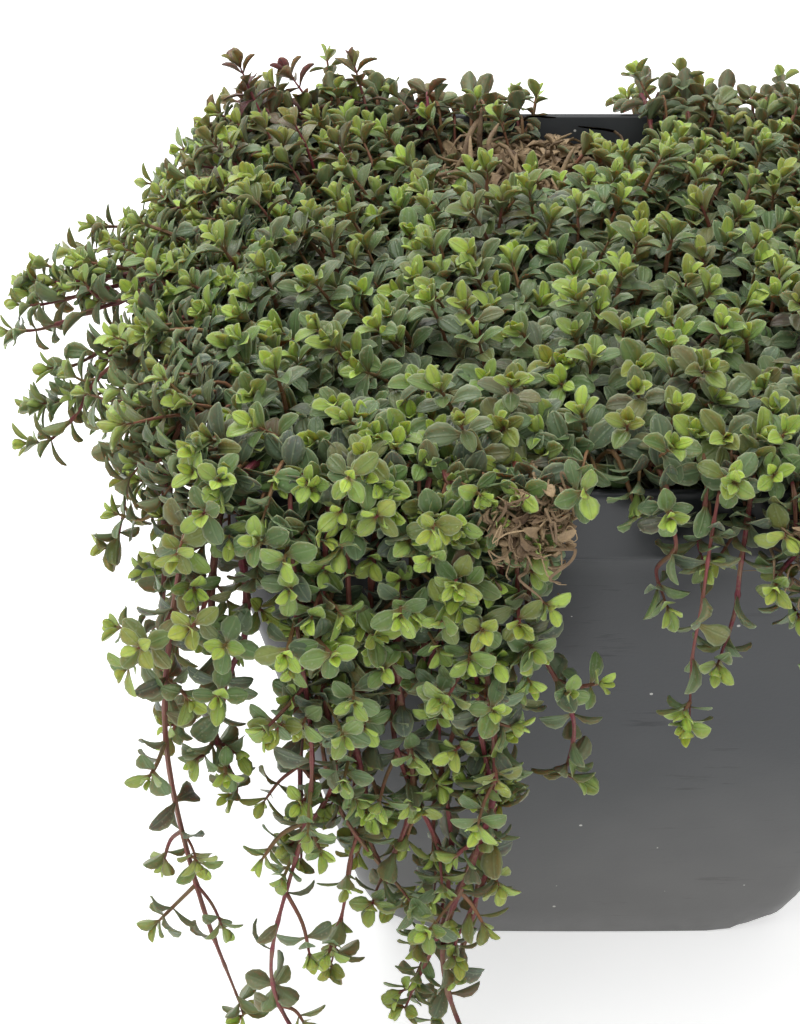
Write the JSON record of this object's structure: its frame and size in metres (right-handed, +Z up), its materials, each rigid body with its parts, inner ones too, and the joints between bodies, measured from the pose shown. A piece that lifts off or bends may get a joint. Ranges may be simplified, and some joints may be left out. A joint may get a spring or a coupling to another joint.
{
  "type": "potted thyme",
  "caption": "Creeping thyme in a square tapered nursery pot, with small paired leaves and leafy stems that trail over the rim.",
  "frame": {"origin": "centre of the pot's underside, in the plane it stands on", "axes": "+Z up, out of the compost; -Y towards the front wall, over which the longest stems trail; +X to the right seen from the front"},
  "size_m": [0.1614, 0.1476, 0.1193],
  "materials": {
    "pot": "satin moulded black plastic, scuffed",
    "compost": "crumbly dark brown compost",
    "clump_thyme": "matt green leaves on tan stems",
    "trailing_thyme": "matt green leaves on red stems",
    "dry_thyme": "dry brown"
  },
  "bodies": {
    "root": {"clump_01": "clump_thyme", "clump_02": "clump_thyme", "clump_03": "clump_thyme", "clump_04": "clump_thyme", "clump_05": "clump_thyme", "clump_06": "clump_thyme", "clump_07": "clump_thyme", "clump_08": "clump_thyme", "clump_09": "clump_thyme", "clump_10": "clump_thyme", "clump_11": "clump_thyme", "clump_12": "clump_thyme", "clump_13": "clump_thyme", "clump_14": "clump_thyme", "clump_15": "clump_thyme", "clump_16": "clump_thyme", "clump_17": "clump_thyme", "clump_18": "clump_thyme", "clump_19": "clump_thyme", "clump_20": "clump_thyme", "clump_21": "clump_thyme", "clump_22": "clump_thyme", "clump_23": "clump_thyme", "clump_24": "clump_thyme", "clump_25": "clump_thyme", "compost": "compost", "dry_stem_01": "dry_thyme", "dry_stem_02": "dry_thyme", "pot": "pot", "trailing_stem_01": "trailing_thyme", "trailing_stem_02": "trailing_thyme", "trailing_stem_03": "trailing_thyme", "trailing_stem_04": "trailing_thyme", "trailing_stem_05": "trailing_thyme", "trailing_stem_06": "trailing_thyme", "trailing_stem_07": "trailing_thyme", "trailing_stem_08": "trailing_thyme", "trailing_stem_09": "trailing_thyme", "trailing_stem_10": "trailing_thyme", "trailing_stem_11": "trailing_thyme", "trailing_stem_12": "trailing_thyme", "trailing_stem_13": "trailing_thyme", "trailing_stem_14": "trailing_thyme", "trailing_stem_15": "trailing_thyme", "trailing_stem_16": "trailing_thyme", "trailing_stem_17": "trailing_thyme", "trailing_stem_18": "trailing_thyme", "trailing_stem_19": "trailing_thyme", "trailing_stem_20": "trailing_thyme", "trailing_stem_21": "trailing_thyme", "trailing_stem_22": "trailing_thyme", "trailing_stem_23": "trailing_thyme", "trailing_stem_24": "trailing_thyme", "trailing_stem_25": "trailing_thyme"}
  },
  "joints": []
}
